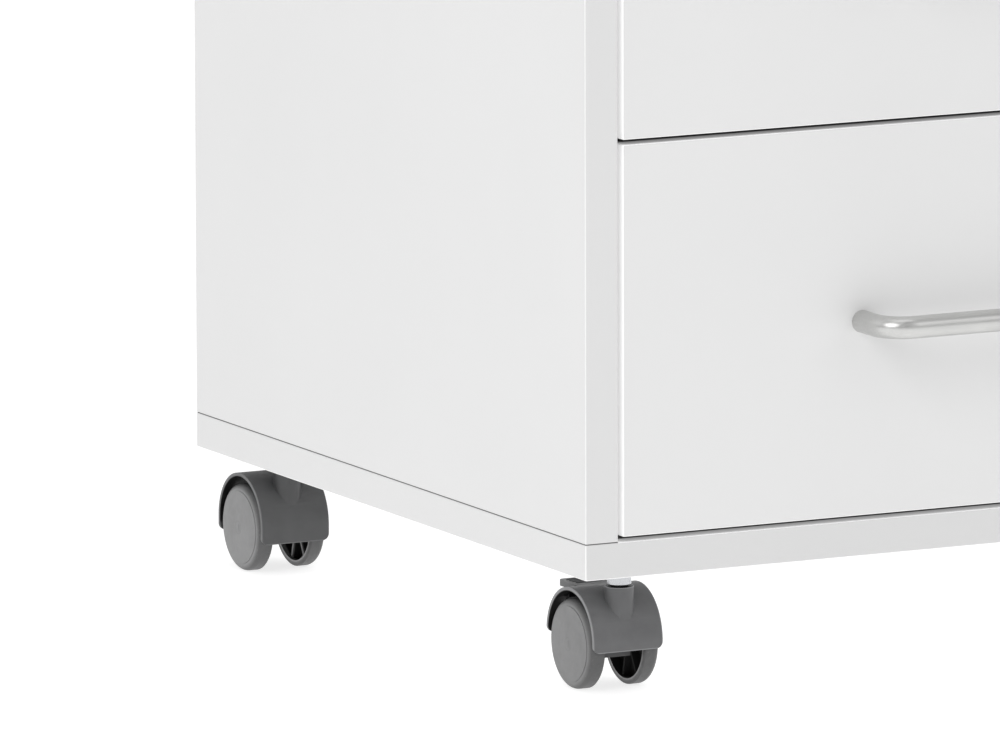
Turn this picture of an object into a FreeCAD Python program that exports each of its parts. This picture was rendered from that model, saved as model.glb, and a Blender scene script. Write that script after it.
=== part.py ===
import FreeCAD, Part
import math
import os

# Rolling pedestal cabinet: a white board carcass with three inset drawers on four
# twin-wheel casters. Millimetres, +X to the right, +Y to the back, +Z up.
# The origin is the centre of the bounding box, on the floor.

# ---------------------------------------------------------------- driving dimensions

cabinet_width = 400.0
cabinet_depth = 390.0
front_height = 172.5
ground_clearance = 55.7
board = 16.0
edge_round = 0.7
moulding_overlap = 0.5

back_thickness = 3.0
back_from_rear = 8.0
back_groove_depth = 6.0
groove_play = 0.1

drawer_names = ("lower_drawer", "middle_drawer", "upper_drawer")
front_gap = 2.1
front_side_gap = 2.4
drawer_board = 12.0
drawer_box_height = 120.0
drawer_box_length = 345.0
drawer_box_lift = 20.0
drawer_bottom_thickness = 3.0
drawer_bottom_lift = 10.0
drawer_groove_depth = 5.0

slide_space = 12.7
slide_length = 350.0
slide_travel = 250.0
slide_setback = 2.0
rail_lift = 50.0
rail_sheet = 1.2
cabinet_rail_half = 17.5
cabinet_rail_reach = 9.8
cabinet_rail_lip = 2.6
drawer_rail_half = 12.1
drawer_rail_reach = 8.2
ball_radius = 2.0
ball_offset = 6.5
ball_play = 0.1
cage_sheet = 0.6
cage_offset = 3.2
cage_reach = 8.0
cage_end_play = 4.0
ball_hole_play = 0.2
balls_per_row = 6

handle_centres = 128.0
handle_bar_radius = 5.0
handle_reach = 30.0
handle_bend = 12.0
handle_screw_radius = 2.0
handle_screw_length = 24.0

dowel_radius = 4.0
dowel_length = 30.0
dowel_in_flat = 12.0
cam_radius = 7.5
cam_depth = 12.5
drawer_cam_depth = 9.5
drawer_cam_lifts = (25.0, 95.0)
cam_from_edge = 34.0
cam_thread_radius = 2.5
cam_thread_length = 11.0
cam_shank_radius = 3.0
cam_head_radius = 3.5
cam_bore_radius = 3.8
cam_channel_end = 3.0
cam_neck_before = 5.0
cam_head_past = 1.5
cam_neck_radius = 2.0
cam_slot_half = 4.5
cam_slot_half_width = 0.6
cam_slot_depth = 1.2
cam_places = (60.0, cabinet_depth - 65.0)
dowel_places = (100.0, cabinet_depth - 105.0)
dowel_chamfer = 1.0

screw_tip_radius = 0.4
screw_tip_length = 3.0
screw_head_taper = 0.7
recess_half_width = 0.45
recess_depth = 0.9
recess_reach = 0.5
slide_screw_radius = 1.6
slide_screw_head_radius = 3.2
slide_screw_head = 1.4
cabinet_screw_length = 13.0
cabinet_screw_places = (35.0, 163.0, 320.0)
drawer_screw_length = 11.0
drawer_screw_places = (30.0, 160.0, 310.0)
handle_screw_head_radius = 4.0
handle_screw_head = 2.0
corner_screw_radius = 1.8
corner_screw_head_radius = 3.8
corner_screw_length = 40.0
sheet_play = 0.3

caster_from_side = {"front": 31.0, "rear": 30.0}
caster_from_end = {"front": 28.5, "rear": 32.5}
caster_trail = 14.0

wheel_radius = 20.0
wheel_inner_x = 9.7
wheel_outer_x = 18.1
wheel_rim = 2.7
wheel_disc = 2.3
wheel_hub_radius = 5.0
wheel_rib_count = 8
wheel_rib_turn = 15.0
wheel_rib = 1.2
wheel_rib_recess = 1.5
wheel_dome = 0.9
wheel_dome_step = 0.3
wheel_shoulder_round = 3.0
wheel_lip = 0.5
axle_end_play = 0.3
axle_radius = 2.5
axle_half = 15.2
running_play = 0.05

hood_radius = 22.8
hood_wall = 1.6
hood_rise = 2.3
hood_half_width = 17.0
hood_corner = 3.2
skirt_front_z = {"front": 19.0, "rear": 15.0}
skirt_rear_z = {"front": 21.7, "rear": 15.3}
web_half_width = 5.2
web_front = -5.0
web_behind_axle = 14.0
web_bottom_z = 20.5
hub_radius = 4.3
hub_half = 9.4
nose_half_width = 6.6
nose_front = 2.0
nose_rear = 10.0
nose_bottom_z = 14.8
boss_radius = 6.5
boss_bottom_z = 24.0
boss_top_z = 46.8

stem_radius = 4.0
stem_bottom_z = 24.0
stem_bore_end_play = 0.5
stem_thread_length = 14.5
collar_radius = 5.4
collar_chamfer = 0.5
collar_bottom_z = 47.4
nut_barrel_radius = 5.5
nut_barrel_length = 11.0
nut_flange_radius = 10.0
nut_flange = 1.5
stem_hole_radius = 4.3

pedal_half_width = 9.0
pedal_bottom_z = 41.2
pedal_top_z = 43.9
pedal_front = 4.9
pedal_rear = 27.2
pedal_corner = 2.5
pedal_play = 0.4
pedal_window_rear = 17.0
pedal_window_bottom_z = 36.5
ridge_count = 4
ridge_pitch = 3.0
ridge_width = 0.6
ridge_height = 0.4
ridge_half_length = 6.5
arm_half_width = 2.8
arm_rear = 12.0
arm_room_half = 3.3
arm_room_front = 2.0
arm_room_rear = 16.0
arm_room_bottom_z = 31.5
knuckle_radius = 2.8
pivot_back = 6.5
pivot_z = 36.0
pivot_radius = 1.5
pivot_half = 4.6
pivot_seat_half = 4.8
shoe_radius = 21.4
shoe_front = 10.5
shoe_rear = 14.0
shoe_inner_x = 5.9
shoe_outer_x = 12.0
shoe_bottom_z = 33.0
shoe_hood_gap = 0.5

# ---------------------------------------------------------------- worked-out places

half_width = cabinet_width / 2
inner_half = half_width - board
rear_overhang = caster_trail + hood_radius - caster_from_end["rear"]
y_front = (handle_reach - cabinet_depth - rear_overhang) / 2
y_rear = y_front + cabinet_depth
z_bottom = ground_clearance
z_floor_board = z_bottom + board
z_ceiling = z_floor_board + 3 * front_height + 4 * front_gap
z_top = z_ceiling + board
y_back_panel = y_rear - back_from_rear - back_thickness

front_half = inner_half - front_side_gap
box_half = inner_half - slide_space
y_box = y_front + board
y_box_end = y_box + drawer_box_length

X_AXIS = FreeCAD.Vector(1, 0, 0)
Y_AXIS = FreeCAD.Vector(0, 1, 0)
Z_AXIS = FreeCAD.Vector(0, 0, 1)


# ---------------------------------------------------------------- shape helpers

def vec(x, y, z):
    return FreeCAD.Vector(x, y, z)


def block(x0, x1, y0, y1, z0, z1):
    low = vec(min(x0, x1), min(y0, y1), min(z0, z1))
    return Part.makeBox(abs(x1 - x0), abs(y1 - y0), abs(z1 - z0), low)


def rounded_block(x0, x1, y0, y1, z0, z1, radius=edge_round):
    solid = block(x0, x1, y0, y1, z0, z1)
    return solid.makeFillet(radius, solid.Edges)


def rod(radius, start, end):
    along = end - start
    return Part.makeCylinder(radius, along.Length, start, along)


def cone(radius_start, radius_end, start, end):
    along = end - start
    return Part.makeCone(radius_start, radius_end, along.Length, start, along)


def fuse(solids):
    joined = solids[0].fuse(solids[1:])
    return joined.removeSplitter()


def cut(solid, tools):
    return solid.cut(tools)


def mirrored(shape):
    return shape.mirror(vec(0, 0, 0), X_AXIS)


def moved(shape, offset):
    copy = shape.copy()
    copy.translate(offset)
    return copy


def save(name, shapes):
    solids = []
    for shape in shapes:
        solids.extend(shape.Solids)
    result = solids[0] if len(solids) == 1 else Part.makeCompound(solids)
    result.exportStep(os.path.join("parts", name + ".step"))


# ---------------------------------------------------------------- fasteners

def cam_bolt(face_point, into_side, into_flat):
    """A dowel bolt: thread into the flat board, shank and head towards the cam."""
    thread_end = face_point + into_flat * cam_thread_length
    neck = face_point + into_side * (cam_from_edge - cam_neck_before)
    head = face_point + into_side * (cam_from_edge + cam_head_past)
    thread = rod(cam_thread_radius, face_point, thread_end)
    shank = rod(cam_shank_radius, face_point, neck)
    pin = rod(cam_neck_radius, neck, head)
    button = rod(cam_head_radius, head - into_side * cam_head_past, head)
    return fuse([thread, shank, pin, button])


def cam_lock(face_point, centre_on_skin, into_board, into_side, depth):
    """A cam disc let into the board's skin, with the channel for the bolt head."""
    disc = rod(cam_radius, centre_on_skin, centre_on_skin + into_board * depth)
    channel_length = cam_from_edge + cam_channel_end
    channel = rod(cam_bore_radius, face_point, face_point + into_side * channel_length)
    across = into_side.cross(into_board)
    tools = [channel]
    for long_way, short_way in ((into_side, across), (across, into_side)):
        corner = centre_on_skin - long_way * cam_slot_half - short_way * cam_slot_half_width
        tools.append(oriented_box(corner, long_way * (2 * cam_slot_half),
                                  short_way * (2 * cam_slot_half_width),
                                  into_board * cam_slot_depth))
    return cut(disc, tools)


def oriented_box(corner, side_a, side_b, side_c):
    far = corner + side_a + side_b + side_c
    return block(corner.x, far.x, corner.y, far.y, corner.z, far.z)


def screw_shank(start, direction, length, radius):
    """A plain shank from start with a tapered tip."""
    tip_start = start + direction * (length - screw_tip_length)
    shank = rod(radius, start, tip_start)
    tip = cone(radius, screw_tip_radius, tip_start, start + direction * length)
    return [shank, tip]


def wood_screw(head_point, direction, length, radius, head_radius, head_height):
    """A screw with a low domed head that sits on the surface at head_point."""
    head_top = head_point - direction * head_height
    head = cone(head_radius, head_radius * screw_head_taper, head_point, head_top)
    pieces = screw_shank(head_point, direction, length, radius) + [head]
    return cut(fuse(pieces), cross_recess(head_top, direction, head_radius))


def countersunk_screw(skin_point, direction, length, radius, head_radius):
    """A screw whose conical head ends flush with the surface at skin_point."""
    head_depth = head_radius - radius
    neck = skin_point + direction * head_depth
    head = cone(head_radius, radius, skin_point, neck)
    pieces = screw_shank(neck, direction, length - head_depth, radius) + [head]
    return cut(fuse(pieces), cross_recess(skin_point, direction, head_radius))


def cross_recess(point, direction, head_radius):
    """Two crossed blades that cut a drive recess at a head's outer face."""
    first = Y_AXIS if abs(direction.y) < 0.5 else X_AXIS
    second = direction.cross(first)
    reach = head_radius * recess_reach
    blades = []
    for long_way, short_way in ((first, second), (second, first)):
        corner = point - long_way * reach - short_way * recess_half_width
        blades.append(oriented_box(corner, long_way * (2 * reach),
                                   short_way * (2 * recess_half_width), direction * recess_depth))
    return blades


# ---------------------------------------------------------------- carcass

def carcass_fasteners():
    """Bolts, cams and dowels of the four corner joints, and the bores for them."""
    bolts = []
    cams = []
    dowels = []
    side_bores = {-1: [], 1: []}
    for side in (-1, 1):
        x_mid = side * (half_width - board / 2)
        x_skin = side * inner_half
        for z_joint, into_side in ((z_floor_board, Z_AXIS), (z_ceiling, Z_AXIS * -1)):
            for place in cam_places:
                face_point = vec(x_mid, y_front + place, z_joint)
                centre = vec(x_skin, y_front + place, z_joint) + into_side * cam_from_edge
                into_board = X_AXIS * side
                bolts.append(cam_bolt(face_point, into_side, into_side * -1))
                cams.append(cam_lock(face_point, centre, into_board, into_side, cam_depth))
                bore_end = face_point + into_side * cam_from_edge
                side_bores[side].append(rod(cam_bore_radius, face_point, bore_end))
                side_bores[side].append(rod(cam_radius, centre, centre + into_board * cam_depth))
            for place in dowel_places:
                face_point = vec(x_mid, y_front + place, z_joint)
                start = face_point - into_side * dowel_in_flat
                dowel = rod(dowel_radius, start, start + into_side * dowel_length)
                dowels.append(dowel.makeChamfer(dowel_chamfer, [dowel.Edges[0], dowel.Edges[2]]))
    return bolts, cams, dowels, side_bores


def back_groove(x0, x1, z0, z1):
    return block(x0, x1, y_back_panel - groove_play, y_rear - back_from_rear + groove_play, z0, z1)


def make_carcass():
    bolts, cams, dowels, side_bores = carcass_fasteners()
    stems, nuts, stem_holes = caster_stems()
    groove_half = inner_half + back_groove_depth

    bottom = rounded_block(-half_width, half_width, y_front, y_rear, z_bottom, z_floor_board)
    groove = back_groove(-groove_half, groove_half, z_floor_board - back_groove_depth, z_floor_board)
    save("bottom_panel", [cut(bottom, [groove] + bolts + dowels + nuts + stem_holes)])

    top = rounded_block(-half_width, half_width, y_front, y_rear, z_ceiling, z_top)
    groove = back_groove(-groove_half, groove_half, z_ceiling, z_ceiling + back_groove_depth)
    save("top_panel", [cut(top, [groove] + bolts + dowels)])

    rail_screws = cabinet_rail_screws()
    for side, name in ((-1, "left_side_panel"), (1, "right_side_panel")):
        panel = rounded_block(side * inner_half, side * half_width, y_front, y_rear,
                              z_floor_board, z_ceiling)
        groove = back_groove(side * inner_half, side * groove_half, z_floor_board, z_ceiling)
        save(name, [cut(panel, [groove] + side_bores[side] + dowels + rail_screws)])

    back = block(-groove_half + sheet_play, groove_half - sheet_play,
                 y_back_panel, y_back_panel + back_thickness,
                 z_floor_board - back_groove_depth + sheet_play,
                 z_ceiling + back_groove_depth - sheet_play)
    save("back_panel", [back])

    save("cam_bolts", bolts)
    save("cam_locks", cams)
    save("wooden_dowels", dowels)
    save("cabinet_rail_screws", rail_screws)
    save("caster_stems", stems)
    save("caster_stem_nuts", nuts)


# ---------------------------------------------------------------- slides

def rail_levels():
    return [drawer_bottom_z(index) + drawer_box_lift + rail_lift for index in range(3)]


def drawer_bottom_z(index):
    return z_floor_board + front_gap + index * (front_height + front_gap)


def rail_section(outline, side, z_level, y0, length):
    """A sheet profile given as (distance from the cabinet side, height) corners."""
    corners = [vec(side * (inner_half - depth), y0, z_level + height) for depth, height in outline]
    wire = Part.makePolygon(corners + corners[:1])
    return Part.Face(wire).extrude(vec(0, length, 0))


def cabinet_rail(side, z_level):
    top = cabinet_rail_half
    reach = cabinet_rail_reach
    sheet = rail_sheet
    lip = cabinet_rail_lip
    upper = [(0, top), (reach, top), (reach, top - lip), (reach - sheet, top - lip),
             (reach - sheet, top - sheet), (sheet, top - sheet)]
    lower = [(depth, -height) for depth, height in reversed(upper)]
    return rail_section(upper + lower, side, z_level, y_box + slide_setback, slide_length)


def drawer_rail(side, z_level):
    top = drawer_rail_half
    far = slide_space
    near = slide_space - drawer_rail_reach
    sheet = rail_sheet
    upper = [(far, top), (near, top), (near, top - sheet), (far - sheet, top - sheet)]
    lower = [(depth, -height) for depth, height in reversed(upper)]
    return rail_section(upper + lower, side, z_level, y_box + slide_setback,
                        drawer_box_length - 2 * slide_setback)


def ball_cage(side, z_level):
    """A sheet retainer with two rows of balls, halfway between the two rails."""
    row = cabinet_rail_half - rail_sheet - ball_play - ball_radius
    flange = row + cage_sheet / 2
    sheet = cage_sheet
    near = cage_offset
    reach = cage_reach
    upper = [(near, flange), (reach, flange), (reach, flange - sheet), (near + sheet, flange - sheet)]
    lower = [(depth, -height) for depth, height in reversed(upper)]
    length = slide_length - slide_travel - 2 * cage_end_play
    y0 = y_box + slide_setback + slide_travel / 2 + cage_end_play
    cage = rail_section(upper + lower, side, z_level, y0, length)
    x_ball = side * (inner_half - ball_offset)
    pitch = length / balls_per_row
    balls = []
    holes = []
    for number in range(balls_per_row):
        y_ball = y0 + pitch * (number + 0.5)
        for up in (-1, 1):
            centre = vec(x_ball, y_ball, z_level + up * row)
            balls.append(Part.makeSphere(ball_radius, centre))
            holes.append(rod(ball_radius + ball_hole_play, centre - Z_AXIS * ball_radius,
                             centre + Z_AXIS * ball_radius))
    return [cut(cage, holes)] + balls


def cabinet_rail_screws():
    screws = []
    for side in (-1, 1):
        x_head = side * (inner_half - rail_sheet)
        for z_level in rail_levels():
            for place in cabinet_screw_places:
                head_point = vec(x_head, y_box + slide_setback + place, z_level)
                screws.append(wood_screw(head_point, X_AXIS * side, cabinet_screw_length,
                                         slide_screw_radius, slide_screw_head_radius,
                                         slide_screw_head))
    return screws


def make_cabinet_rails():
    rails = []
    for side in (-1, 1):
        for z_level in rail_levels():
            rails.append(cabinet_rail(side, z_level))
    save("cabinet_rails", [cut(rail, cabinet_rail_screws()) for rail in rails])


# ---------------------------------------------------------------- drawers

def handle(z_mid):
    """A round bar bent to a bow, with its two feet on the drawer front."""
    half = handle_centres / 2
    y_bar = y_front - handle_reach + handle_bar_radius
    y_bend = y_bar + handle_bend
    bar = rod(handle_bar_radius, vec(-half + handle_bend, y_bar, z_mid),
              vec(half - handle_bend, y_bar, z_mid))
    pieces = [bar]
    for side in (-1, 1):
        x_leg = side * half
        pieces.append(rod(handle_bar_radius, vec(x_leg, y_front, z_mid), vec(x_leg, y_bend, z_mid)))
        start = 180 if side < 0 else 270
        bend = Part.makeTorus(handle_bend, handle_bar_radius, vec(0, 0, 0), Z_AXIS, -180, 180, 90)
        bend.rotate(vec(0, 0, 0), Z_AXIS, start)
        pieces.append(moved(bend, vec(x_leg - side * handle_bend, y_bend, z_mid)))
    return fuse(pieces)


def handle_screws(z_mid):
    screws = []
    for side in (-1, 1):
        head_point = vec(side * handle_centres / 2, y_front + board, z_mid)
        screws.append(wood_screw(head_point, Y_AXIS * -1, handle_screw_length,
                                 handle_screw_radius, handle_screw_head_radius,
                                 handle_screw_head))
    return screws


def drawer_fasteners(z_box, z_mid):
    """Every screw, bolt and cam that rides with one drawer."""
    screws = handle_screws(z_mid)
    bolts = []
    cams = []
    bores = []
    for side in (-1, 1):
        outward = X_AXIS * side
        x_skin = side * box_half
        x_mid_board = side * (box_half - drawer_board / 2)
        for lift in drawer_cam_lifts:
            face_point = vec(x_mid_board, y_box, z_box + lift)
            centre = vec(x_skin, y_box + cam_from_edge, z_box + lift)
            bolts.append(cam_bolt(face_point, Y_AXIS, Y_AXIS * -1))
            cams.append(cam_lock(face_point, centre, outward * -1, Y_AXIS, drawer_cam_depth))
            bores.append(rod(cam_bore_radius, face_point, face_point + Y_AXIS * cam_from_edge))
            bores.append(rod(cam_radius, centre, centre - outward * drawer_cam_depth))
            skin_point = vec(x_skin, y_box_end - drawer_board / 2, z_box + lift)
            screws.append(countersunk_screw(skin_point, outward * -1, corner_screw_length,
                                            corner_screw_radius, corner_screw_head_radius))
            sink = corner_screw_head_radius - corner_screw_radius
            bores.append(cone(corner_screw_head_radius, corner_screw_radius,
                              skin_point, skin_point - outward * sink))
        for place in drawer_screw_places:
            head_point = vec(side * (box_half + rail_sheet), y_box + place, z_box + rail_lift)
            screws.append(wood_screw(head_point, outward * -1, drawer_screw_length,
                                     slide_screw_radius, slide_screw_head_radius,
                                     slide_screw_head))
    return screws, bolts, cams, bores


def make_drawer(index):
    name = drawer_names[index]
    z0 = drawer_bottom_z(index)
    z1 = z0 + front_height
    z_mid = (z0 + z1) / 2
    z_box = z0 + drawer_box_lift
    z_box_top = z_box + drawer_box_height
    inner = box_half - drawer_board
    screws, bolts, cams, bores = drawer_fasteners(z_box, z_mid)

    sheet_half = inner + drawer_groove_depth
    z_sheet = z_box + drawer_bottom_lift
    groove = block(-sheet_half, sheet_half, y_box - drawer_groove_depth,
                   y_box_end - drawer_board + drawer_groove_depth,
                   z_sheet - groove_play, z_sheet + drawer_bottom_thickness + groove_play)
    sheet = block(-sheet_half + sheet_play, sheet_half - sheet_play,
                  y_box - drawer_groove_depth + sheet_play,
                  y_box_end - drawer_board + drawer_groove_depth - sheet_play,
                  z_sheet, z_sheet + drawer_bottom_thickness)
    save(name + "_bottom", [sheet])

    front = rounded_block(-front_half, front_half, y_front, y_box, z0, z1)
    save(name + "_front", [cut(front, [groove] + screws + bolts)])

    for side, word in ((-1, "left"), (1, "right")):
        wall = rounded_block(side * inner, side * box_half, y_box, y_box_end, z_box, z_box_top)
        save(name + "_" + word + "_side", [cut(wall, [groove] + bores + screws)])

    back = rounded_block(-inner, inner, y_box_end - drawer_board, y_box_end, z_box, z_box_top)
    save(name + "_back", [cut(back, [groove] + screws)])

    grip = cut(handle(z_mid), handle_screws(z_mid))
    save(name + "_handle", [grip])

    z_rail = z_box + rail_lift
    rails = [cut(drawer_rail(side, z_rail), screws) for side in (-1, 1)]
    save(name + "_rails", rails)
    save(name + "_fasteners", screws + bolts + cams)
    save(name + "_ball_cages", ball_cage(-1, z_rail) + ball_cage(1, z_rail))


# ---------------------------------------------------------------- casters

caster_places = {
    "front_left": (-1, "front"),
    "front_right": (1, "front"),
    "rear_left": (-1, "rear"),
    "rear_right": (1, "rear"),
}


def caster_origin(name):
    """The point on the floor under the stem."""
    side, end = caster_places[name]
    x = side * (half_width - caster_from_side[end])
    inset = caster_from_end[end]
    y = y_front + inset if end == "front" else y_rear - inset
    return vec(x, y, 0)


def upright_rod(radius, origin, z_low, z_high):
    return rod(radius, origin + Z_AXIS * z_low, origin + Z_AXIS * z_high)


def caster_stems():
    """Collared stems, the drive-in nuts they are screwed into, and their holes."""
    stems = []
    nuts = []
    holes = []
    z_flange = z_floor_board - nut_flange
    z_barrel = z_flange - nut_barrel_length
    z_thread_end = z_bottom + stem_thread_length
    z_chamfer = collar_bottom_z + collar_chamfer
    for name in caster_places:
        origin = caster_origin(name)
        shaft = upright_rod(stem_radius, origin, stem_bottom_z, z_thread_end)
        collar = upright_rod(collar_radius, origin, z_chamfer, z_bottom)
        collar_edge = cone(collar_radius - collar_chamfer, collar_radius,
                           origin + Z_AXIS * collar_bottom_z, origin + Z_AXIS * z_chamfer)
        stems.append(fuse([shaft, collar, collar_edge]))
        barrel = upright_rod(nut_barrel_radius, origin, z_barrel, z_floor_board)
        flange = upright_rod(nut_flange_radius, origin, z_flange, z_floor_board)
        through = upright_rod(stem_radius, origin, z_bottom, z_floor_board)
        nuts.append(cut(fuse([barrel, flange]), [through]))
        holes.append(upright_rod(stem_hole_radius, origin, z_bottom, z_barrel))
        holes.append(through)
    return stems, nuts, holes


def x_disc(radius, half_length, y, z):
    return rod(radius, vec(-half_length, y, z), vec(half_length, y, z))


def rounded_skirt(z_low, y0, y1):
    """A wide prism along Y whose two lower corners are rounded, to trim the hood."""
    half = hood_half_width
    tall = block(-half, half, y0, y1, z_low, boss_top_z)
    low_edges = [edge for edge in tall.Edges
                 if abs(edge.tangentAt(0).y) > 0.9 and edge.BoundBox.ZMax < z_low + 1]
    return tall.makeFillet(hood_corner, low_edges)


def hood_shell(end):
    """The curved mudguard over both wheels, open at the sides and below."""
    y_mid = caster_trail
    z_mid = wheel_radius + hood_rise
    inner = hood_radius - hood_wall
    half = hood_half_width
    ring = cut(x_disc(hood_radius, half, y_mid, z_mid), [x_disc(inner, half + 1, y_mid, z_mid)])
    upper_half = ring.common(block(-half, half, y_mid - hood_radius, y_mid + hood_radius,
                                   z_mid, z_mid + hood_radius))
    skirts = []
    for direction, z_low in ((-1, skirt_front_z[end]), (1, skirt_rear_z[end])):
        skirts.append(block(-half, half, y_mid + direction * inner, y_mid + direction * hood_radius,
                            z_low, z_mid))
    shell = fuse([upper_half] + skirts)
    front_trim = rounded_skirt(skirt_front_z[end], y_mid - hood_radius, y_mid)
    rear_trim = rounded_skirt(skirt_rear_z[end], y_mid, y_mid + hood_radius)
    return fuse([shell.common(front_trim), shell.common(rear_trim)])


def caster_hood(end):
    """Mudguard, web between the wheels and stem boss, moulded in one piece."""
    y_mid = caster_trail
    z_mid = wheel_radius + hood_rise
    inner = hood_radius - hood_wall
    shell = hood_shell(end)
    cavity = x_disc(inner + moulding_overlap, hood_half_width + 1, y_mid, z_mid)
    boss = cut(upright_rod(boss_radius, vec(0, 0, 0), boss_bottom_z, boss_top_z), [cavity])
    web = x_disc(inner + moulding_overlap, web_half_width, y_mid, z_mid).common(
        block(-web_half_width, web_half_width, web_front, y_mid + web_behind_axle,
              web_bottom_z, boss_top_z))
    hub = x_disc(hub_radius, hub_half, y_mid, wheel_radius)
    pieces = [shell, boss, web, hub]
    if end == "front":
        pieces.append(block(-nose_half_width, nose_half_width, nose_front, nose_rear,
                            nose_bottom_z, web_bottom_z + moulding_overlap))
    body = fuse(pieces)
    bore = upright_rod(stem_radius + running_play, vec(0, 0, 0),
                       stem_bottom_z - stem_bore_end_play, boss_top_z + 1)
    tools = [bore, x_disc(axle_radius, hub_half + 1, y_mid, wheel_radius)]
    if end == "front":
        tools.extend(brake_slots())
    return cut(body, tools)


def brake_slots():
    """Room in the hood for the pedal, its arm and its two moulded pivot pins."""
    y_mid = caster_trail
    window_half = pedal_half_width + pedal_play
    window = block(-window_half, window_half, y_mid + pedal_front - pedal_play,
                   y_mid + pedal_window_rear, pedal_window_bottom_z, boss_top_z)
    arm_room = block(-arm_room_half, arm_room_half, y_mid + arm_room_front,
                     y_mid + arm_room_rear, arm_room_bottom_z, boss_top_z)
    seat = x_disc(pivot_radius + running_play, pivot_seat_half, y_mid + pivot_back, pivot_z)
    return [window, arm_room, seat]


def brake_shoe(side):
    """A pad over one wheel's tread, joined to the pedal through the hood's window."""
    y_mid = caster_trail
    z_mid = wheel_radius + hood_rise
    stalk = block(side * shoe_inner_x, side * pedal_half_width, y_mid + shoe_front,
                  y_mid + shoe_rear, shoe_bottom_z, pedal_bottom_z)
    pad = block(side * shoe_inner_x, side * shoe_outer_x, y_mid + shoe_front,
                y_mid + shoe_rear, shoe_bottom_z, pedal_bottom_z)
    under_hood = x_disc(hood_radius - hood_wall - shoe_hood_gap, hood_half_width, y_mid, z_mid)
    over_wheel = x_disc(shoe_radius, hood_half_width, y_mid, wheel_radius)
    return cut(fuse([stalk, pad.common(under_hood)]), [over_wheel])


def brake_lever():
    """A flat pedal behind the hood, with an arm, pivot pins and two brake shoes."""
    y_mid = caster_trail
    y_pivot = y_mid + pivot_back
    half = pedal_half_width
    plate = block(-half, half, y_mid + pedal_front, y_mid + pedal_rear, pedal_bottom_z, pedal_top_z)
    rear_corners = [edge for edge in plate.Edges
                    if abs(edge.tangentAt(0).z) > 0.9
                    and edge.BoundBox.YMin > y_mid + pedal_rear - 1]
    plate = plate.makeFillet(pedal_corner, rear_corners)
    arm = block(-arm_half_width, arm_half_width, y_mid + pedal_front, y_mid + arm_rear,
                pivot_z, pedal_bottom_z)
    knuckle = x_disc(knuckle_radius, arm_half_width, y_pivot, pivot_z)
    pins = x_disc(pivot_radius, pivot_half, y_pivot, pivot_z)
    pieces = [plate, arm, knuckle, pins, brake_shoe(-1), brake_shoe(1)]
    for number in range(ridge_count):
        y_ridge = y_mid + pedal_rear - (number + 1) * ridge_pitch
        pieces.append(block(-ridge_half_length, ridge_half_length, y_ridge - ridge_width, y_ridge,
                            pedal_top_z - ridge_height, pedal_top_z + ridge_height))
    return fuse(pieces)


def caster_wheel():
    """A hollow cup wheel on the +X side: closed and domed outside, ribbed and open inside."""
    inner_face = wheel_inner_x
    shoulder = wheel_outer_x - wheel_dome
    disc_inside = shoulder - wheel_disc
    rim_inside = wheel_radius - wheel_rim
    turn = wheel_shoulder_round
    bore = axle_radius + running_play

    def point(radius, x):
        return vec(x, 0, radius)

    tread_end = point(wheel_radius, shoulder - turn)
    turn_mid = point(wheel_radius - turn + turn * math.sqrt(0.5),
                     shoulder - turn + turn * math.sqrt(0.5))
    disc_edge = point(wheel_radius - turn, shoulder)
    outline = [disc_edge, point(0, shoulder), point(0, disc_inside), point(rim_inside, disc_inside),
               point(rim_inside, inner_face), point(wheel_radius - wheel_lip, inner_face),
               point(wheel_radius, inner_face + wheel_lip), tread_end]
    edges = [Part.LineSegment(a, b).toShape() for a, b in zip(outline, outline[1:])]
    edges.append(Part.Arc(tread_end, turn_mid, disc_edge).toShape())
    cup = Part.Face(Part.Wire(edges)).revolve(vec(0, 0, 0), X_AXIS, 360)

    dome_edge = wheel_radius - turn - wheel_dome_step
    cap_height = wheel_dome - wheel_dome_step
    dome_radius = (dome_edge ** 2 + cap_height ** 2) / (2 * cap_height)
    ball = Part.makeSphere(dome_radius, vec(wheel_outer_x - dome_radius, 0, 0), X_AXIS)
    dome = rod(dome_edge, vec(disc_inside + moulding_overlap, 0, 0),
               vec(wheel_outer_x + 1, 0, 0)).common(ball)

    hub = rod(wheel_hub_radius, vec(inner_face, 0, 0), vec(disc_inside + moulding_overlap, 0, 0))
    ribs = []
    for number in range(wheel_rib_count):
        rib = block(inner_face + wheel_rib_recess, disc_inside + moulding_overlap,
                    -wheel_rib / 2, wheel_rib / 2,
                    wheel_hub_radius - moulding_overlap, rim_inside + moulding_overlap)
        rib.rotate(vec(0, 0, 0), X_AXIS, wheel_rib_turn + number * 360 / wheel_rib_count)
        ribs.append(rib)
    body = fuse([cup, dome, hub] + ribs)
    body = cut(body, [rod(bore, vec(inner_face - 1, 0, 0), vec(axle_half + axle_end_play, 0, 0))])
    return moved(body, vec(0, caster_trail, wheel_radius))


def make_caster(name):
    origin = caster_origin(name)
    end = caster_places[name][1]
    wheel = caster_wheel()
    save(name + "_caster_hood", [moved(caster_hood(end), origin)])
    save(name + "_axle", [moved(x_disc(axle_radius, axle_half, caster_trail, wheel_radius), origin)])
    save(name + "_right_wheel", [moved(wheel, origin)])
    save(name + "_left_wheel", [moved(mirrored(wheel), origin)])
    if end == "front":
        save(name + "_brake_lever", [moved(brake_lever(), origin)])


# ---------------------------------------------------------------- the whole cabinet

os.makedirs("parts", exist_ok=True)
make_carcass()
make_cabinet_rails()
for drawer_index in range(3):
    make_drawer(drawer_index)
for caster_name in caster_places:
    make_caster(caster_name)
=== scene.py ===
import math

import bpy
from mathutils import Matrix, Vector


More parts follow.
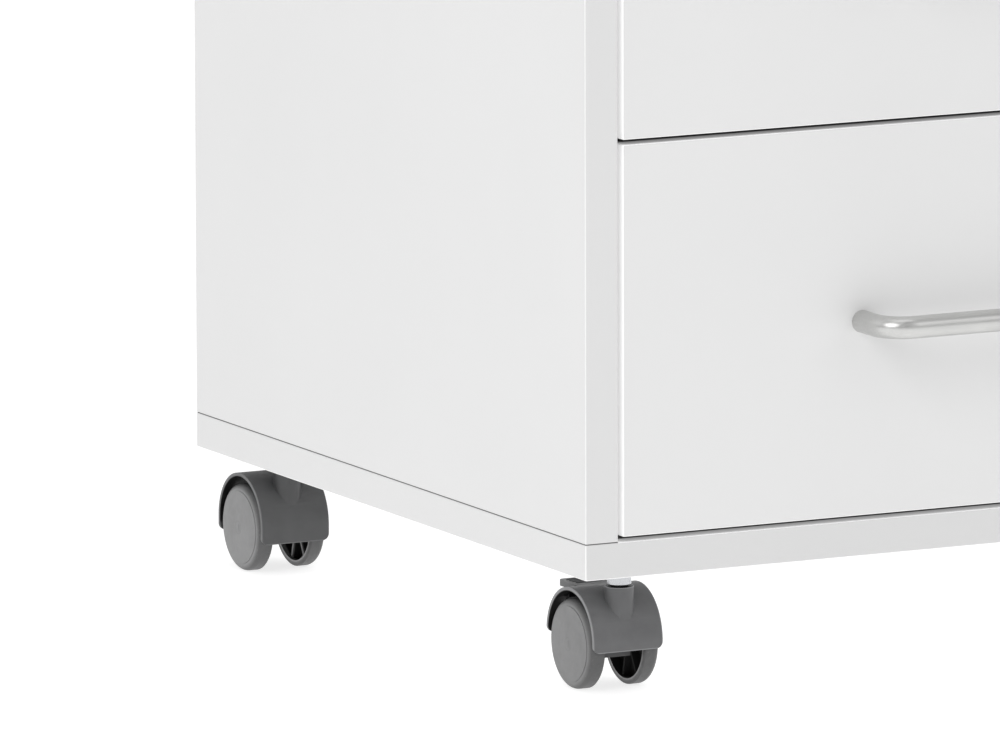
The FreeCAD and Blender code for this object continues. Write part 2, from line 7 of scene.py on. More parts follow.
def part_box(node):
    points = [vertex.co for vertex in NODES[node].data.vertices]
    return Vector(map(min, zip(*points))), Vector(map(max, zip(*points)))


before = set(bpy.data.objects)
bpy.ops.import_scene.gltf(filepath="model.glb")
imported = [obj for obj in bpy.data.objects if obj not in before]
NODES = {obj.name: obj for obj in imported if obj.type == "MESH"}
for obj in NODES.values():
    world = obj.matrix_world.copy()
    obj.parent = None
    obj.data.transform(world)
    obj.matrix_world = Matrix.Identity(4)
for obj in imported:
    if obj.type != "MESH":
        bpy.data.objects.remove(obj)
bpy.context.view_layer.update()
MM = 0.001

# The rolling pedestal cabinet in white melamine-faced board on grey twin-wheel casters.
# Pieces are in metres, with +Z up and the fronts facing -Y.

DRAWERS = ("lower_drawer", "middle_drawer", "upper_drawer")
CASTERS = ("front_left", "front_right", "rear_left", "rear_right")

# boards
BOARD_WHITE = (0.80, 0.80, 0.80, 1.0)
HARDBOARD_WHITE = (0.77, 0.77, 0.76, 1.0)
BEECH = (0.62, 0.42, 0.25, 1.0)
SIDE_EDGING_SHADE = 0.985
FRONT_EDGING_SHADE = 0.935
BASE_EDGING_SHADE = 0.90
EDGING_THICKNESS = 0.8 * MM
SEAM_HALF_WIDTH = 0.07 * MM
SEAM_SHADE = 0.90
SEAM_DEPTH = 0.8
BOARD_ROUGHNESS = 0.42
HARDBOARD_ROUGHNESS = 0.5
BEECH_ROUGHNESS = 0.6
# painted highlight: the arrises are lightened in colour (glint) and made to glow (glow)
ARRIS_GLINT = 1.22
ARRIS_GLOW = 0.16
# painted shadow in the joints between the boards
JOINT_WIDTH = 0.40 * MM
JOINT_SHADE = 0.16
INNER_FACE_FADE = 0.1 * MM

# the narrow gaps round the drawer fronts: painted light glowing on the faces inside them, and
# painted shade on the fronts' undersides
FRONT_LID_FILL = 0.20
BASE_LID_FILL = 0.28
LID_FILL_DEPTHS = (7.0 * MM, 8.5 * MM)
SIDE_GAP_FILL = 0.33
SIDE_FILL_DEPTHS = (6.0 * MM, 8.0 * MM)
PAST_ARRIS_DEPTHS = (0.2 * MM, 0.6 * MM)
UNDERSIDE_PAINTED_SHADE = 0.12

# where the size of one part of the surface direction tells a face, a front edge or an arris
FLAT = (0.80, 0.95)
MOSTLY_FACE = (0.6, 0.8)
MOSTLY_FRONT = (0.5, 0.8)

# the part of a noise's range that is used
NOISE_SPAN = (0.3, 0.7)
WIDE_NOISE_SPAN = (0.25, 0.75)

# uneven levels: noise scale, noise detail, lowest and highest level
BOARD_CLOUD = (9.0, 3.0, 0.988, 1.006)
BOARD_SHEEN = (700.0, 2.0, 0.36, 0.46)
METAL_CLOUD = (60.0, 3.0, 0.96, 1.02)
PLASTIC_CLOUD = (120.0, 3.0, 0.93, 1.05)
FLOOR_CLOUD = (0.8, 2.0, 0.99, 1.0)

# fine patterns: noise scale, noise detail and, where they run one way, their stretch
EMBOSSING = (1500.0, 3.0)
COAT = (900.0, 3.0)
DUST = (1100.0, 2.0)
HOOD_GRAIN = (1100.0, 3.0)
WHEEL_GRAIN = (1300.0, 3.0)
PLASTIC_GLOSS = (400.0, 3.0)
FIBRES = (260.0, 5.0, (1.0, 1.0, 0.35))
BEECH_GRAIN = (900.0, 4.0, (1.0, 1.0, 0.06))
METAL_MARKS = (1400.0, 4.0)

# reliefs: depth and strength
EMBOSSING_RELIEF = (0.03 * MM, 0.6)
COAT_RELIEF = (0.02 * MM, 0.5)
BEECH_RELIEF = (0.05 * MM, 0.6)
PLASTIC_RELIEF = (0.03 * MM, 0.7)
METAL_RELIEF_STRENGTH = 0.5

# the darkest and palest of a pattern, and how far the gloss strays to either side
FIBRE_TONES = (0.955, 1.0)
BEECH_TONES = (0.72, 1.05)
MARK_TONES = (0.93, 1.03)
METAL_GLOSS_SPREAD = (-0.06, 0.08)
PLASTIC_GLOSS_SPREAD = (-0.05, 0.06)

# metals: colour, roughness, stretch of the marks and their depth
METALS = {
    "zinc_steel": ((0.72, 0.73, 0.75, 1.0), 0.30, (1.0, 1.0, 1.0), 0.01 * MM),
    "rail_steel": ((0.66, 0.67, 0.69, 1.0), 0.32, (1.0, 0.03, 1.0), 0.01 * MM),
    "cage_steel": ((0.58, 0.59, 0.61, 1.0), 0.28, (1.0, 0.05, 1.0), 0.01 * MM),
    "handle_steel": ((0.62, 0.62, 0.61, 1.0), 0.34, (0.03, 1.0, 1.0), 0.012 * MM),
    "stem_zinc": ((0.60, 0.61, 0.63, 1.0), 0.28, (1.0, 1.0, 0.05), 0.01 * MM),
}
# painted shade on the caster shaft below the collar
SHAFT_SHADE_FADE = 0.1 * MM
SHAFT_PAINTED_SHADE = 0.05

# casters
HOOD_GREY = (0.125, 0.126, 0.129, 1.0)
WHEEL_GREY = (0.24, 0.24, 0.242, 1.0)
HOOD_ROUGHNESS = 0.42
LEVER_ROUGHNESS = 0.45
WHEEL_ROUGHNESS = 0.45
COLLAR_BOTTOM_Z = 47.4 * MM
HOOD_RADIUS = 22.8 * MM
HOOD_WALL = 1.6 * MM
HOOD_RISE = 2.3 * MM
BOSS_RADIUS = 6.5 * MM
CASTER_TRAIL = 14.0 * MM
SKIRT_FRONT_Z = {"front": 19.0 * MM, "rear": 15.0 * MM}
SKIRT_REAR_Z = {"front": 21.7 * MM, "rear": 15.3 * MM}
SKIRT_RIM = (0.25 * MM, 0.55 * MM)
SIDE_RIM = (0.5 * MM, 0.2 * MM)
HALVES_FADE = 1.0 * MM
HOLLOW_EDGE = (0.1 * MM, 0.4 * MM)
BOSS_TOP = (0.45 * MM, 0.2 * MM)
BOSS_RING = (0.6 * MM, 0.4 * MM)
LEVER_FADE = 0.8 * MM
# painted shade in the mudguard, eased over the front nose
NOSE_TOP_Z = 21.0 * MM
NOSE_FADE = 1.5 * MM
NOSE_SHADE = 0.45
# painted highlight on the mudguard rims
RIM_PAINTED_HIGHLIGHT = 1.9
# painted shade: the rear hoods are darkened
HOOD_PAINTED_SHADE = {"front": 1.0, "rear": 0.54}
# painted shade in hollows: mudguards, levers and wheel cups
HOLLOW_PAINTED_SHADE = 0.06
WHEEL_RIM = 2.7 * MM
CUP_FADE = 0.3 * MM
WHEEL_SKIN = (2.8 * MM, 3.2 * MM)
HUB_OUTSIDE = (5.5 * MM, 6.0 * MM)
HUB_RING_RADIUS = 2.9 * MM
HUB_RING_WIDTHS = (0.15 * MM, 0.45 * MM)
HUB_RING_SHADE = 0.92
TREAD_BAND = (0.8 * MM, 2.6 * MM)
# painted shade on the tread ring
TREAD_PAINTED_SHADE = {"front": 0.44, "rear": 0.38}
TREAD_DUST = 1.5
DUST_SPAN = (0.62, 0.78)
# painted shade: the front wheels are darkened
WHEEL_PAINTED_SHADE = {"front": 0.84, "rear": 1.0}
# painted highlight: a thin bright line round the wheel's inner rim
RIM_LINE_INSET = 0.45 * MM
RIM_LINE_WIDTHS = (0.2 * MM, 0.45 * MM)
RIM_LINE_DEPTHS = (0.8 * MM, 1.4 * MM)
RIM_HIGHLIGHT_GAIN = 0.7
RIB_DEPTHS = (1.7 * MM, 2.6 * MM)
HOOD_EDGE_ROUND = 0.35 * MM
LEVER_EDGE_ROUND = 0.3 * MM
ROUND_SEGMENTS = 2
SHARP_ANGLE = 35.0
WELD_DISTANCE = 0.001 * MM

# floor, light and camera
FLOOR_SIZE = 240.0
FLOOR_GREY = (0.45, 0.45, 0.45, 1.0)
FLOOR_GLOW = 0.76
FLOOR_ROUGHNESS = 0.9
WHITE = (1.0, 1.0, 1.0, 1.0)
SKY_LIGHT = 0.52
SKY_SEEN = 1.0

# softboxes: place, aim, size and power
SOFTBOXES = {
    "key_left": ((-3.2, -2.2, 2.6), (0.0, 0.0, 0.3), 2.2, 50.0),
    "fill_right": ((2.2, -3.0, 2.4), (0.0, 0.0, 0.3), 2.2, 12.0),
    "overhead": ((0.0, 0.0, 3.5), (0.0, 0.01, 0.3), 2.5, 18.0),
}

# the camera: three turns in degrees, two sizes in millimetres, four distances in metres
CAMERA_YAW = 26.805
CAMERA_PITCH = 9.523
CAMERA_ROLL = 0.145
CAMERA_LENS = 540.0
SENSOR_WIDTH = 36.0
CAMERA_DISTANCE = 6.5182
CORNER_RIGHT_OFFSET = 0.03701
CORNER_UP_OFFSET = -0.08992
CAMERA_REACH = 200.0


# ------------------------------------------------------------------ node helpers

def new_material(name, roughness, metallic=0.0):
    """A material with its Principled shader, ready for links."""
    material = bpy.data.materials.new(name)
    material.use_nodes = True
    tree = material.node_tree
    shader = tree.nodes["Principled BSDF"]
    shader.inputs["Roughness"].default_value = roughness
    shader.inputs["Metallic"].default_value = metallic
    return material, tree, shader


def link(tree, socket, target):
    tree.links.new(socket, target)


def add(tree, kind, inputs=None, **settings):
    """Adds a node; inputs may be values or output sockets to link."""
    node = tree.nodes.new(kind)
    for key, value in settings.items():
        setattr(node, key, value)
    for key, value in (inputs or {}).items():
        if isinstance(value, bpy.types.NodeSocket):
            link(tree, value, node.inputs[key])
        else:
            node.inputs[key].default_value = value
    return node


def math_node(tree, operation, first, second=0.0):
    return add(tree, "ShaderNodeMath", {0: first, 1: second}, operation=operation).outputs[0]


def product(tree, sockets):
    result = sockets[0]
    for socket in sockets[1:]:
        result = math_node(tree, "MULTIPLY", result, socket)
    return result


def inverse(tree, mask):
    return math_node(tree, "SUBTRACT", 1.0, mask)


def remap(tree, value, span, to_low, to_high):
    """Carries a value across a span of its own to another range, held at both ends."""
    low, high = span
    node = add(tree, "ShaderNodeMapRange", {
        "Value": value, "From Min": low, "From Max": high, "To Min": to_low, "To Max": to_high})
    return node.outputs["Result"]


def rising(tree, value, span):
    return remap(tree, value, span, 0.0, 1.0)


def falling(tree, value, span):
    return remap(tree, value, span, 1.0, 0.0)


def shade_where(tree, mask, shade):
    """1 where the mask is 0, and the shade where the mask is 1."""
    return remap(tree, mask, (0.0, 1.0), 1.0, shade)


def distance_from(tree, socket, place):
    return math_node(tree, "ABSOLUTE", math_node(tree, "SUBTRACT", socket, place))


def distance_in_plane(tree, split, *axes_and_places):
    """How far a point is from a line, seen along it."""
    squares = []
    for axis, place in axes_and_places:
        offset = math_node(tree, "SUBTRACT", split.outputs[axis], place)
        squares.append(math_node(tree, "MULTIPLY", offset, offset))
    return math_node(tree, "SQRT", math_node(tree, "ADD", squares[0], squares[1]))


def place_coords(tree, stretch=(1.0, 1.0, 1.0)):
    """The object's own metres, which stay with the piece when it moves."""
    coords = add(tree, "ShaderNodeTexCoord").outputs["Object"]
    mapping = add(tree, "ShaderNodeMapping", {"Vector": coords, "Scale": stretch})
    return mapping.outputs["Vector"]


def split_place(tree):
    return add(tree, "ShaderNodeSeparateXYZ", {"Vector": place_coords(tree)})


def noise(tree, scale, detail, stretch=(1.0, 1.0, 1.0)):
    node = add(tree, "ShaderNodeTexNoise", {
        "Vector": place_coords(tree, stretch), "Scale": scale, "Detail": detail})
    return node.outputs["Fac"]


def mottle(tree, scale, detail, low, high):
    """An uneven factor between two levels."""
    return remap(tree, noise(tree, scale, detail), NOISE_SPAN, low, high)


def tinted(tree, color, factor):
    """A colour, given as a value or a socket, times a grey factor."""
    grey = add(tree, "ShaderNodeCombineColor", {0: factor, 1: factor, 2: factor})
    mix = add(tree, "ShaderNodeMix", {"Factor": 1.0}, data_type="RGBA", blend_type="MULTIPLY")
    color_input, grey_input = [socket for socket in mix.inputs if socket.type == "RGBA"]
    if isinstance(color, bpy.types.NodeSocket):
        link(tree, color, color_input)
    else:
        color_input.default_value = color
    link(tree, grey.outputs[0], grey_input)
    return [socket for socket in mix.outputs if socket.type == "RGBA"][0]


def retint(tree, shader, factor):
    """Multiplies what already drives the base colour by one more grey factor."""
    before = shader.inputs["Base Color"].links[0].from_socket
    link(tree, tinted(tree, before, factor), shader.inputs["Base Color"])


def bump(tree, height, distance, strength):
    node = add(tree, "ShaderNodeBump", {
        "Height": height, "Distance": distance, "Strength": strength})
    return node.outputs["Normal"]


# ------------------------------------------------------------------ boards

def local_normal(tree):
    """The components of the surface direction in the piece's own axes, and their sizes."""
    normal = add(tree, "ShaderNodeNewGeometry").outputs["Normal"]
    local = add(tree, "ShaderNodeVectorTransform", {"Vector": normal},
                vector_type="NORMAL", convert_from="WORLD", convert_to="OBJECT")
    facing = add(tree, "ShaderNodeSeparateXYZ", {"Vector": local.outputs[0]})
    sizes = [math_node(tree, "ABSOLUTE", facing.outputs[axis]) for axis in range(3)]
    return facing.outputs, sizes


def from_border(tree, split, low, high, thickness_axis):
    """Distance from the nearest border of a board's face."""
    border = None
    for axis in range(3):
        if axis == thickness_axis:
            continue
        from_low = math_node(tree, "SUBTRACT", split.outputs[axis], low[axis])
        from_high = math_node(tree, "SUBTRACT", high[axis], split.outputs[axis])
        nearer = math_node(tree, "MINIMUM", from_low, from_high)
        border = nearer if border is None else math_node(tree, "MINIMUM", border, nearer)
    return border


def off_middle_line(tree, split):
    return math_node(tree, "ABSOLUTE", split.outputs[0])


def inner_face_span():
    """The last stretch before the inner faces of the side panels."""
    inner_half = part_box("right_side_panel")[0].x
    return inner_half - INNER_FACE_FADE, inner_half


def joint_shadow(tree, split, node, low, high):
    """The painted shadow line where the sides stand on the bottom panel and carry the top panel.
    """
    if node.endswith("_side_panel"):
        nearest = math_node(tree, "MINIMUM", distance_from(tree, split.outputs[2], low.z),
                            distance_from(tree, split.outputs[2], high.z))
    elif node == "bottom_panel":
        nearest = distance_from(tree, split.outputs[2], high.z)
    elif node == "top_panel":
        nearest = distance_from(tree, split.outputs[2], low.z)
    else:
        return None
    line = remap(tree, nearest, (0.5 * JOINT_WIDTH, JOINT_WIDTH), JOINT_SHADE, 1.0)
    if node.endswith("_side_panel"):
        return line
    under_side = rising(tree, off_middle_line(tree, split), inner_face_span())
    return inverse(tree, product(tree, [inverse(tree, line), under_side]))


def gap_fill(tree, split, node, low, facing, across):
    """Painted light glowing inside the narrow gaps, ending at some depth behind the front."""
    inward = math_node(tree, "SUBTRACT", split.outputs[1], low.y)
    past_arris = rising(tree, inward, PAST_ARRIS_DEPTHS)
    upward = rising(tree, facing[2], FLAT)
    if node == "bottom_panel":
        lid = remap(tree, inward, LID_FILL_DEPTHS, BASE_LID_FILL, 0.0)
        between_sides = falling(tree, off_middle_line(tree, split), inner_face_span())
        return product(tree, [lid, past_arris, upward, between_sides])
    lid = remap(tree, inward, LID_FILL_DEPTHS, FRONT_LID_FILL, 0.0)
    end = remap(tree, inward, SIDE_FILL_DEPTHS, SIDE_GAP_FILL, 0.0)
    sideways = rising(tree, across[0], FLAT)
    wall = math_node(tree, "MAXIMUM", product(tree, [sideways, end]),
                     product(tree, [upward, lid]))
    return product(tree, [past_arris, wall])


def board_material(name, node, thickness_axis):
    """White melamine board: pearl-embossed faces, smoother edging, fine seams, painted highlights
    and glow on the arrises, painted shadow in the joints and on undersides, and painted light
    inside the gaps.
    """
    material, tree, shader = new_material(name, BOARD_ROUGHNESS)
    low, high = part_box(node)
    split = split_place(tree)
    facing, across = local_normal(tree)
    on_face = rising(tree, across[thickness_axis], MOSTLY_FACE)
    straightest = math_node(tree, "MAXIMUM", math_node(tree, "MAXIMUM", across[0], across[1]),
                            across[2])

    border = from_border(tree, split, low, high, thickness_axis)
    off_seam = distance_from(tree, border, EDGING_THICKNESS)
    seam = product(tree, [falling(tree, off_seam, (0.0, SEAM_HALF_WIDTH)), on_face])

    front_shade = BASE_EDGING_SHADE if node == "bottom_panel" else FRONT_EDGING_SHADE
    edging = remap(tree, across[1], MOSTLY_FRONT, SIDE_EDGING_SHADE, front_shade)
    edging_loss = product(tree, [inverse(tree, edging), inverse(tree, on_face)])
    tones = [
        mottle(tree, *BOARD_CLOUD),
        inverse(tree, edging_loss),
        # painted highlight on the rounded arrises
        remap(tree, straightest, FLAT, ARRIS_GLINT, 1.0),
        shade_where(tree, seam, SEAM_SHADE),
    ]
    joint = joint_shadow(tree, split, node, low, high)
    if joint is not None:
        tones.append(joint)
    # painted shade on the undersides of the fronts and the top panel
    if node.endswith("_front") or node == "top_panel":
        tones.append(remap(tree, facing[2], (-FLAT[1], -FLAT[0]), UNDERSIDE_PAINTED_SHADE, 1.0))
    link(tree, tinted(tree, BOARD_WHITE, product(tree, tones)), shader.inputs["Base Color"])

    # painted light: the arrises and the faces inside the gaps glow
    if node.endswith("_front") or node == "bottom_panel":
        shader.inputs["Emission Color"].default_value = WHITE
        glow = remap(tree, straightest, FLAT, ARRIS_GLOW, 0.0)
        fill = gap_fill(tree, split, node, low, facing, across)
        link(tree, math_node(tree, "MAXIMUM", fill, glow), shader.inputs["Emission Strength"])

    embossing = product(tree, [noise(tree, *EMBOSSING), on_face])
    seam_groove = math_node(tree, "MULTIPLY", seam, SEAM_DEPTH)
    height = math_node(tree, "SUBTRACT", embossing, seam_groove)
    link(tree, bump(tree, height, *EMBOSSING_RELIEF), shader.inputs["Normal"])
    link(tree, mottle(tree, *BOARD_SHEEN), shader.inputs["Roughness"])
    return material


def hardboard_material():
    """Thin lacquered hardboard: faint fibres under a smooth white coat."""
    material, tree, shader = new_material("white_hardboard", HARDBOARD_ROUGHNESS)
    tone = remap(tree, noise(tree, *FIBRES), WIDE_NOISE_SPAN, *FIBRE_TONES)
    link(tree, tinted(tree, HARDBOARD_WHITE, tone), shader.inputs["Base Color"])
    link(tree, bump(tree, noise(tree, *COAT), *COAT_RELIEF), shader.inputs["Normal"])
    return material


def dowel_material():
    """Turned beech with fine grain along the dowel."""
    material, tree, shader = new_material("beech_dowel", BEECH_ROUGHNESS)
    grain = noise(tree, *BEECH_GRAIN)
    tone = remap(tree, grain, NOISE_SPAN, *BEECH_TONES)
    link(tree, tinted(tree, BEECH, tone), shader.inputs["Base Color"])
    link(tree, bump(tree, grain, *BEECH_RELIEF), shader.inputs["Normal"])
    return material


# ------------------------------------------------------------------ metals

def metal_material(name):
    """Bare metal with drawing or rolling marks stretched along one axis."""
    color, roughness, stretch, mark_depth = METALS[name]
    material, tree, shader = new_material(name, roughness, metallic=1.0)
    marks = noise(tree, *METAL_MARKS, stretch)
    tone = product(tree, [remap(tree, marks, NOISE_SPAN, *MARK_TONES),
                          mottle(tree, *METAL_CLOUD)])
    link(tree, tinted(tree, color, tone), shader.inputs["Base Color"])
    smoothest, roughest = [roughness + change for change in METAL_GLOSS_SPREAD]
    rough = remap(tree, marks, WIDE_NOISE_SPAN, smoothest, roughest)
    link(tree, rough, shader.inputs["Roughness"])
    link(tree, bump(tree, marks, mark_depth, METAL_RELIEF_STRENGTH), shader.inputs["Normal"])
    return material


def stem_material():
    """Bright zinc above the collar's lower edge, and a shaft darkened by painted shade below it.
    """
    material = metal_material("stem_zinc")
    tree = material.node_tree
    edge = (COLLAR_BOTTOM_Z - SHAFT_SHADE_FADE, COLLAR_BOTTOM_Z)
    # painted shade below the collar
    shaft_shade = remap(tree, split_place(tree).outputs[2], edge, SHAFT_PAINTED_SHADE, 1.0)
    retint(tree, tree.nodes["Principled BSDF"], shaft_shade)
    return material


# ------------------------------------------------------------------ plastics

def plastic_material(name, color, roughness, grain_pattern):
    """Moulded nylon with a fine spark-eroded grain and slightly uneven gloss."""
    material, tree, shader = new_material(name, roughness)
    tone = mottle(tree, *PLASTIC_CLOUD)
    link(tree, tinted(tree, color, tone), shader.inputs["Base Color"])
    grain = noise(tree, *grain_pattern)
    link(tree, bump(tree, grain, *PLASTIC_RELIEF), shader.inputs["Normal"])
    smoothest, roughest = [roughness + change for change in PLASTIC_GLOSS_SPREAD]
    rough = mottle(tree, *PLASTIC_GLOSS, smoothest, roughest)
    link(tree, rough, shader.inputs["Roughness"])
    return material, tree, shader


def hood_centre(caster):
    """The axle's place along Y, and the height of the mudguard's own centre above it."""
    low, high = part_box(caster + "_left_wheel")
    return (low.y + high.y) / 2, (low.z + high.z) / 2 + HOOD_RISE


def hood_material(name, caster):
    """Dark nylon, with painted highlights along its rims, painted grey-black shade under the
    mudguard, and more painted shade on the rear hoods.
    """
    material, tree, shader = plastic_material(name, HOOD_GREY, HOOD_ROUGHNESS, HOOD_GRAIN)
    end = caster.split("_")[0]
    low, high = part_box(caster + "_caster_hood")
    x_middle = (low.x + high.x) / 2
    half_width = (high.x - low.x) / 2
    y_axle, z_hood = hood_centre(caster)
    split = split_place(tree)
    x_place, y_place, z_place = split.outputs
    radius = distance_in_plane(tree, split, (1, y_axle), (2, z_hood))

    # painted shade: grey-black inside the mudguard, eased over the front nose
    inner = HOOD_RADIUS - HOOD_WALL
    hollow = falling(tree, radius, (inner + HOLLOW_EDGE[0], inner + HOLLOW_EDGE[1]))
    if end == "front":
        nose_edge = (NOSE_TOP_Z - NOSE_FADE, NOSE_TOP_Z)
        over_nose = remap(tree, z_place, nose_edge, NOSE_SHADE, 1.0)
        hollow = product(tree, [hollow, over_nose])

    # painted highlights along the side rims, the skirt rims and the boss ring
    off_middle = distance_from(tree, x_place, x_middle)
    side_rim = rising(tree, off_middle, (half_width - SIDE_RIM[0], half_width - SIDE_RIM[1]))
    front_half = falling(tree, y_place, (y_axle - HALVES_FADE, y_axle))
    rear_half = inverse(tree, front_half)
    front_rim = falling(tree, distance_from(tree, z_place, SKIRT_FRONT_Z[end]), SKIRT_RIM)
    rear_rim = falling(tree, distance_from(tree, z_place, SKIRT_REAR_Z[end]), SKIRT_RIM)

    from_stem = distance_in_plane(tree, split, (0, x_middle), (1, y_axle - CASTER_TRAIL))
    boss_top = rising(tree, z_place, (high.z - BOSS_TOP[0], high.z - BOSS_TOP[1]))
    ring = rising(tree, from_stem, (BOSS_RADIUS - BOSS_RING[0], BOSS_RADIUS - BOSS_RING[1]))
    boss_rim = product(tree, [boss_top, ring])
    # painted shade in the well inside the boss ring
    well = product(tree, [boss_top, inverse(tree, ring)])
    hollow = math_node(tree, "MAXIMUM", hollow, well)

    rim = side_rim
    for other in (product(tree, [front_rim, front_half]), product(tree, [rear_rim, rear_half]),
                  boss_rim):
        rim = math_node(tree, "MAXIMUM", rim, other)
    # painted highlights on the rims, painted shade in the hollows and on the rear hoods
    retint(tree, shader, product(tree, [shade_where(tree, rim, RIM_PAINTED_HIGHLIGHT),
                                        shade_where(tree, hollow, HOLLOW_PAINTED_SHADE),
                                        HOOD_PAINTED_SHADE[end]]))
    return material


def lever_material(name, caster):
    """The same nylon, with painted shade where the lever reaches in under the mudguard."""
    material, tree, shader = plastic_material(name, HOOD_GREY, LEVER_ROUGHNESS, HOOD_GRAIN)
    y_axle, z_hood = hood_centre(caster)
    radius = distance_in_plane(tree, split_place(tree), (1, y_axle), (2, z_hood))
    inner = HOOD_RADIUS - HOOD_WALL
    retint(tree, shader, remap(tree, radius, (inner, inner + LEVER_FADE), HOLLOW_PAINTED_SHADE, 1.0))
    return material


def wheel_material(name, node, outer_side):
    """A paler disc inside a tread ring darkened by painted shade, a painted highlight line round
    the inner rim and painted shade in the ribbed hollow on the inner side; the front wheels get
    more painted shade.
    """
    material, tree, shader = plastic_material(name, WHEEL_GREY, WHEEL_ROUGHNESS, WHEEL_GRAIN)
    end = node.split("_")[0]
    low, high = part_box(node)
    radius = (high.z - low.z) / 2
    width = high.x - low.x
    split = split_place(tree)
    from_axle = distance_in_plane(tree, split, (1, (low.y + high.y) / 2),
                                  (2, (low.z + high.z) / 2))
    inner_face = low.x if outer_side > 0 else high.x
    depth = distance_from(tree, split.outputs[0], inner_face)

    # painted shade in the ribbed cup on the inner side
    in_cup = falling(tree, from_axle, (radius - WHEEL_RIM, radius - WHEEL_RIM + CUP_FADE))
    deep = rising(tree, depth, RIB_DEPTHS)
    if end == "front":
        deep = math_node(tree, "MAXIMUM", rising(tree, from_axle, HUB_OUTSIDE), deep)
    before_skin = falling(tree, depth, (width - WHEEL_SKIN[1], width - WHEEL_SKIN[0]))
    hollow = product(tree, [in_cup, deep, before_skin])

    # painted shade darkens the tread ring; the dust specks on it are real
    tread = rising(tree, from_axle, (radius - TREAD_BAND[1], radius - TREAD_BAND[0]))
    dust = remap(tree, noise(tree, *DUST), DUST_SPAN, 1.0, TREAD_DUST)
    off_hub_ring = distance_from(tree, from_axle, HUB_RING_RADIUS)
    off_rim_line = distance_from(tree, from_axle, radius - WHEEL_RIM + RIM_LINE_INSET)
    # painted highlight line round the inner rim
    rim_line = remap(tree, off_rim_line, RIM_LINE_WIDTHS, RIM_HIGHLIGHT_GAIN, 0.0)
    near_inner = falling(tree, depth, RIM_LINE_DEPTHS)
    retint(tree, shader, product(tree, [
        shade_where(tree, tread, TREAD_PAINTED_SHADE[end]),
        shade_where(tree, tread, dust),
        remap(tree, off_hub_ring, HUB_RING_WIDTHS, HUB_RING_SHADE, 1.0),
        math_node(tree, "ADD", product(tree, [rim_line, near_inner]), 1.0),
        shade_where(tree, hollow, HOLLOW_PAINTED_SHADE),
        WHEEL_PAINTED_SHADE[end],
    ]))
    if end == "front":
        gloss = shader.inputs["Roughness"].links[0].from_socket
        link(tree, math_node(tree, "MAXIMUM", gloss, hollow), shader.inputs["Roughness"])
    return material


# ------------------------------------------------------------------ dressing the CAD nodes

def dress(node, material):
    mesh = NODES[node].data
    mesh.materials.clear()
    mesh.materials.append(material)


def soften(node, width):
    """Rounds the sharp edges of a moulded piece."""
    piece = NODES[node]
    weld = piece.modifiers.new("weld", "WELD")
    weld.merge_threshold = WELD_DISTANCE
    bevel = piece.modifiers.new("soft_edges", "BEVEL")
    bevel.width = width
    bevel.segments = ROUND_SEGMENTS
    bevel.limit_method = "ANGLE"
    bevel.angle_limit = math.radians(SHARP_ANGLE)
    bevel.use_clamp_overlap = True
    smooth = piece.modifiers.new("weighted_normals", "WEIGHTED_NORMAL")
    smooth.keep_sharp = False
    for polygon in piece.data.polygons:
        polygon.use_smooth = True


BOARD_AXES = {"bottom_panel": 2, "top_panel": 2, "left_side_panel": 0, "right_side_panel": 0}
for drawer in DRAWERS:
    BOARD_AXES[drawer + "_front"] = 1
    BOARD_AXES[drawer + "_back"] = 1
    BOARD_AXES[drawer + "_left_side"] = 0
    BOARD_AXES[drawer + "_right_side"] = 0
for board_node, board_axis in BOARD_AXES.items():
    dress(board_node, board_material(board_node + "_melamine", board_node, board_axis))

hardboard = hardboard_material()
zinc = metal_material("zinc_steel")
rail_steel = metal_material("rail_steel")
cage_steel = metal_material("cage_steel")
handle_steel = metal_material("handle_steel")

dress("back_panel", hardboard)
dress("wooden_dowels", dowel_material())
dress("caster_stems", stem_material())
for metal_node in ("cam_bolts", "cam_locks", "cabinet_rail_screws", "caster_stem_nuts"):
    dress(metal_node, zinc)
dress("cabinet_rails", rail_steel)
for drawer in DRAWERS:
    dress(drawer + "_bottom", hardboard)
    dress(drawer + "_handle", handle_steel)
    dress(drawer + "_rails", rail_steel)
    dress(drawer + "_fasteners", zinc)
    dress(drawer + "_ball_cages", cage_steel)
for caster in CASTERS:
    dress(caster + "_caster_hood", hood_material(caster + "_hood_plastic", caster))
    soften(caster + "_caster_hood", HOOD_EDGE_ROUND)
    dress(caster + "_axle", zinc)
    for side, outer_side in (("left", -1), ("right", 1)):
        wheel = caster + "_" + side + "_wheel"
        dress(wheel, wheel_material(wheel + "_plastic", wheel, outer_side))
    lever = caster + "_brake_lever"
    if lever in NODES:
        dress(lever, lever_material(lever + "_plastic", caster))
        soften(lever, LEVER_EDGE_ROUND)


# ------------------------------------------------------------------ floor, light, camera

def make_floor():
    bpy.ops.mesh.primitive_plane_add(size=FLOOR_SIZE, location=(0.0, 0.0, 0.0))
    floor = bpy.context.object
    floor.name = "studio_floor"
    material, tree, shader = new_material("floor_white", FLOOR_ROUGHNESS)
    tone = mottle(tree, *FLOOR_CLOUD)
    link(tree, tinted(tree, FLOOR_GREY, tone), shader.inputs["Base Color"])
    shader.inputs["Emission Color"].default_value = WHITE
    shader.inputs["Emission Strength"].default_value = FLOOR_GLOW
    floor.data.materials.append(material)


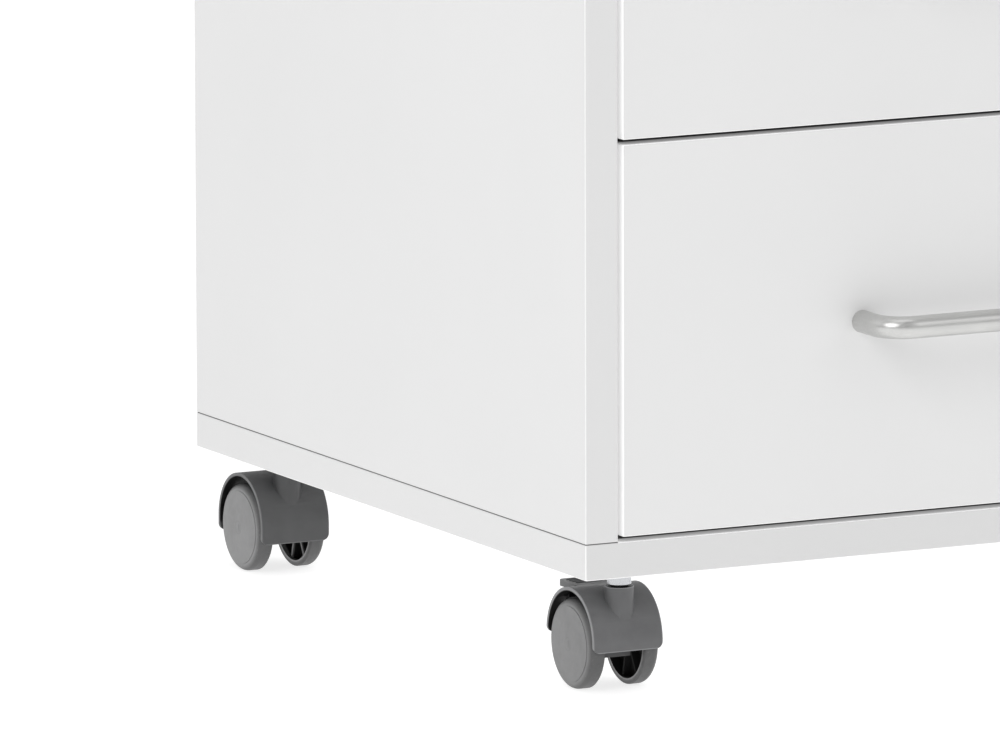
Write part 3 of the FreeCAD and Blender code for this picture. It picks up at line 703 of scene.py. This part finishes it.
def make_world():
    """Even light from all round, with a plain white backdrop beyond the floor."""
    world = bpy.data.worlds.new("studio")
    bpy.context.scene.world = world
    world.use_nodes = True
    tree = world.node_tree
    background = tree.nodes["Background"]
    background.inputs["Color"].default_value = WHITE
    seen_directly = add(tree, "ShaderNodeLightPath").outputs["Is Camera Ray"]
    strength = remap(tree, seen_directly, (0.0, 1.0), SKY_LIGHT, SKY_SEEN)
    link(tree, strength, background.inputs["Strength"])


def add_softbox(name, place, aim, size, power):
    light = bpy.data.lights.new(name, "AREA")
    light.shape = "RECTANGLE"
    light.size = size
    light.size_y = size
    light.energy = power
    lamp = bpy.data.objects.new(name, light)
    bpy.context.scene.collection.objects.link(lamp)
    lamp.location = place
    lamp.rotation_euler = (Vector(aim) - Vector(place)).to_track_quat("-Z", "Y").to_euler()


def make_camera():
    """A long lens from the front left, a little above, placed from the lower front left corner."""
    yaw = math.radians(CAMERA_YAW)
    pitch = math.radians(CAMERA_PITCH)
    roll = math.radians(CAMERA_ROLL)
    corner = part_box("bottom_panel")[0]
    right = Vector((math.cos(yaw), -math.sin(yaw), 0.0))
    ahead = Vector((math.sin(yaw) * math.cos(pitch), math.cos(yaw) * math.cos(pitch),
                    -math.sin(pitch)))
    up = right.cross(ahead)
    place = (corner - right * CORNER_RIGHT_OFFSET - up * CORNER_UP_OFFSET
             - ahead * CAMERA_DISTANCE)
    turned_right = right * math.cos(roll) - up * math.sin(roll)
    turned_up = up * math.cos(roll) + right * math.sin(roll)
    camera_data = bpy.data.cameras.new("main")
    camera_data.lens = CAMERA_LENS
    camera_data.sensor_width = SENSOR_WIDTH
    camera_data.clip_end = CAMERA_REACH
    camera = bpy.data.objects.new("main", camera_data)
    bpy.context.scene.collection.objects.link(camera)
    axes = Matrix((turned_right, turned_up, -ahead)).transposed()
    camera.matrix_world = Matrix.Translation(place) @ axes.to_4x4()
    bpy.context.scene.camera = camera


make_floor()
make_world()
for softbox, settings in SOFTBOXES.items():
    add_softbox(softbox, *settings)
make_camera()

bpy.context.scene.view_settings.view_transform = "Standard"
